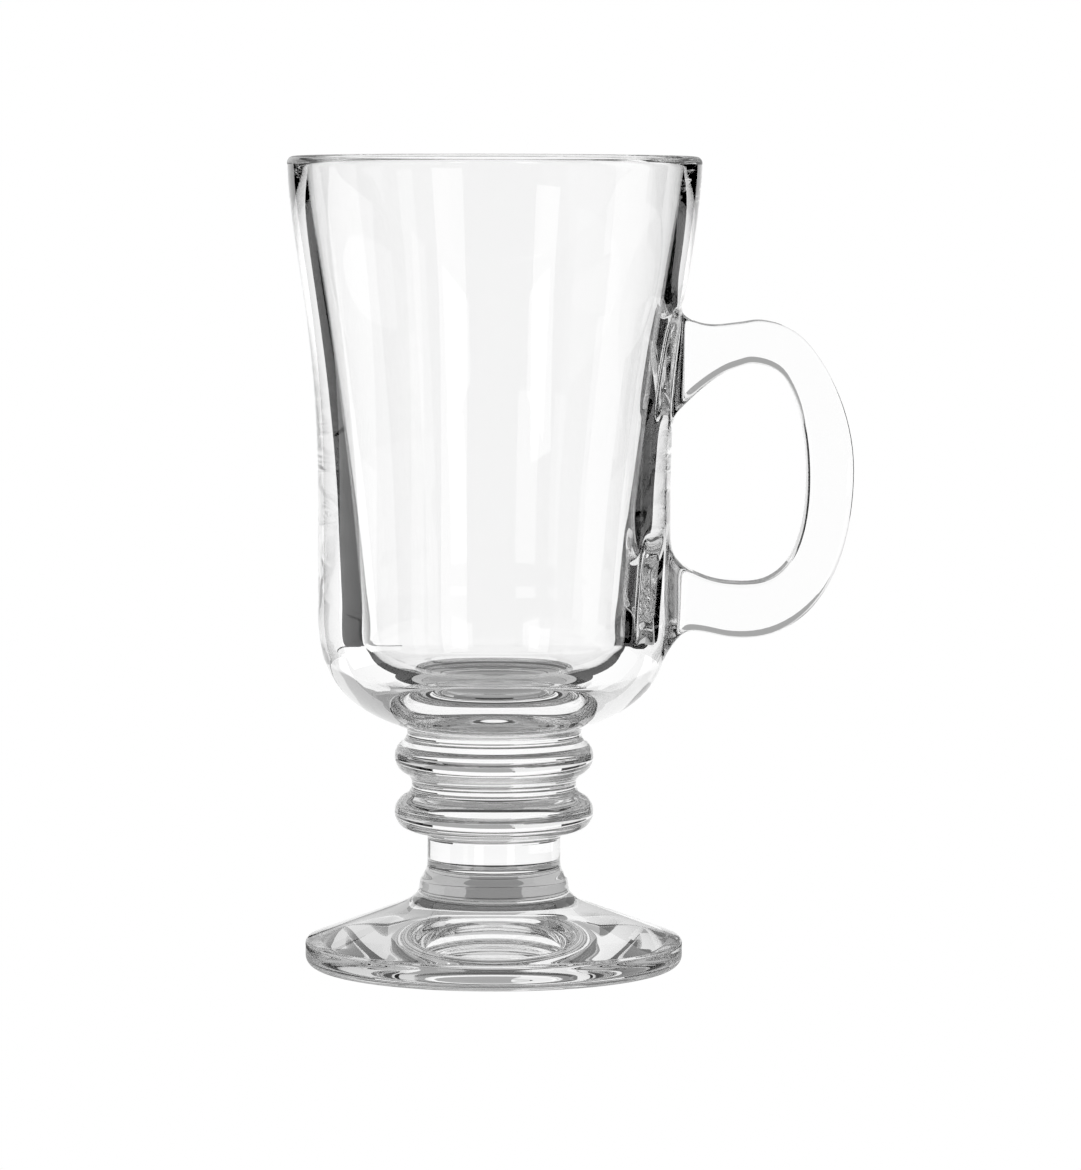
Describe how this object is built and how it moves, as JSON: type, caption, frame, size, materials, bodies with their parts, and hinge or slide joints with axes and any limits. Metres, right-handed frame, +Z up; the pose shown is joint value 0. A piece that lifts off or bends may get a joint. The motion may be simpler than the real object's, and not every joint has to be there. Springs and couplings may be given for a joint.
{
  "type": "footed glass mug",
  "caption": "Clear pressed-glass footed mug for hot coffee drinks: flared bowl, D-shaped handle, ringed stem and round foot.",
  "frame": {"origin": "centre of the foot's underside, on the table", "axes": "+Z up along the mug's axis, +X towards the handle"},
  "size_m": [0.1045, 0.0764, 0.15],
  "materials": {
    "clear_glass": "fire-polished clear soda-lime glass"
  },
  "bodies": {
    "root": {"bowl": "clear_glass", "handle": "clear_glass", "neck": "clear_glass", "upper_bead": "clear_glass", "lower_bead": "clear_glass", "waist": "clear_glass", "foot": "clear_glass"}
  },
  "joints": []
}
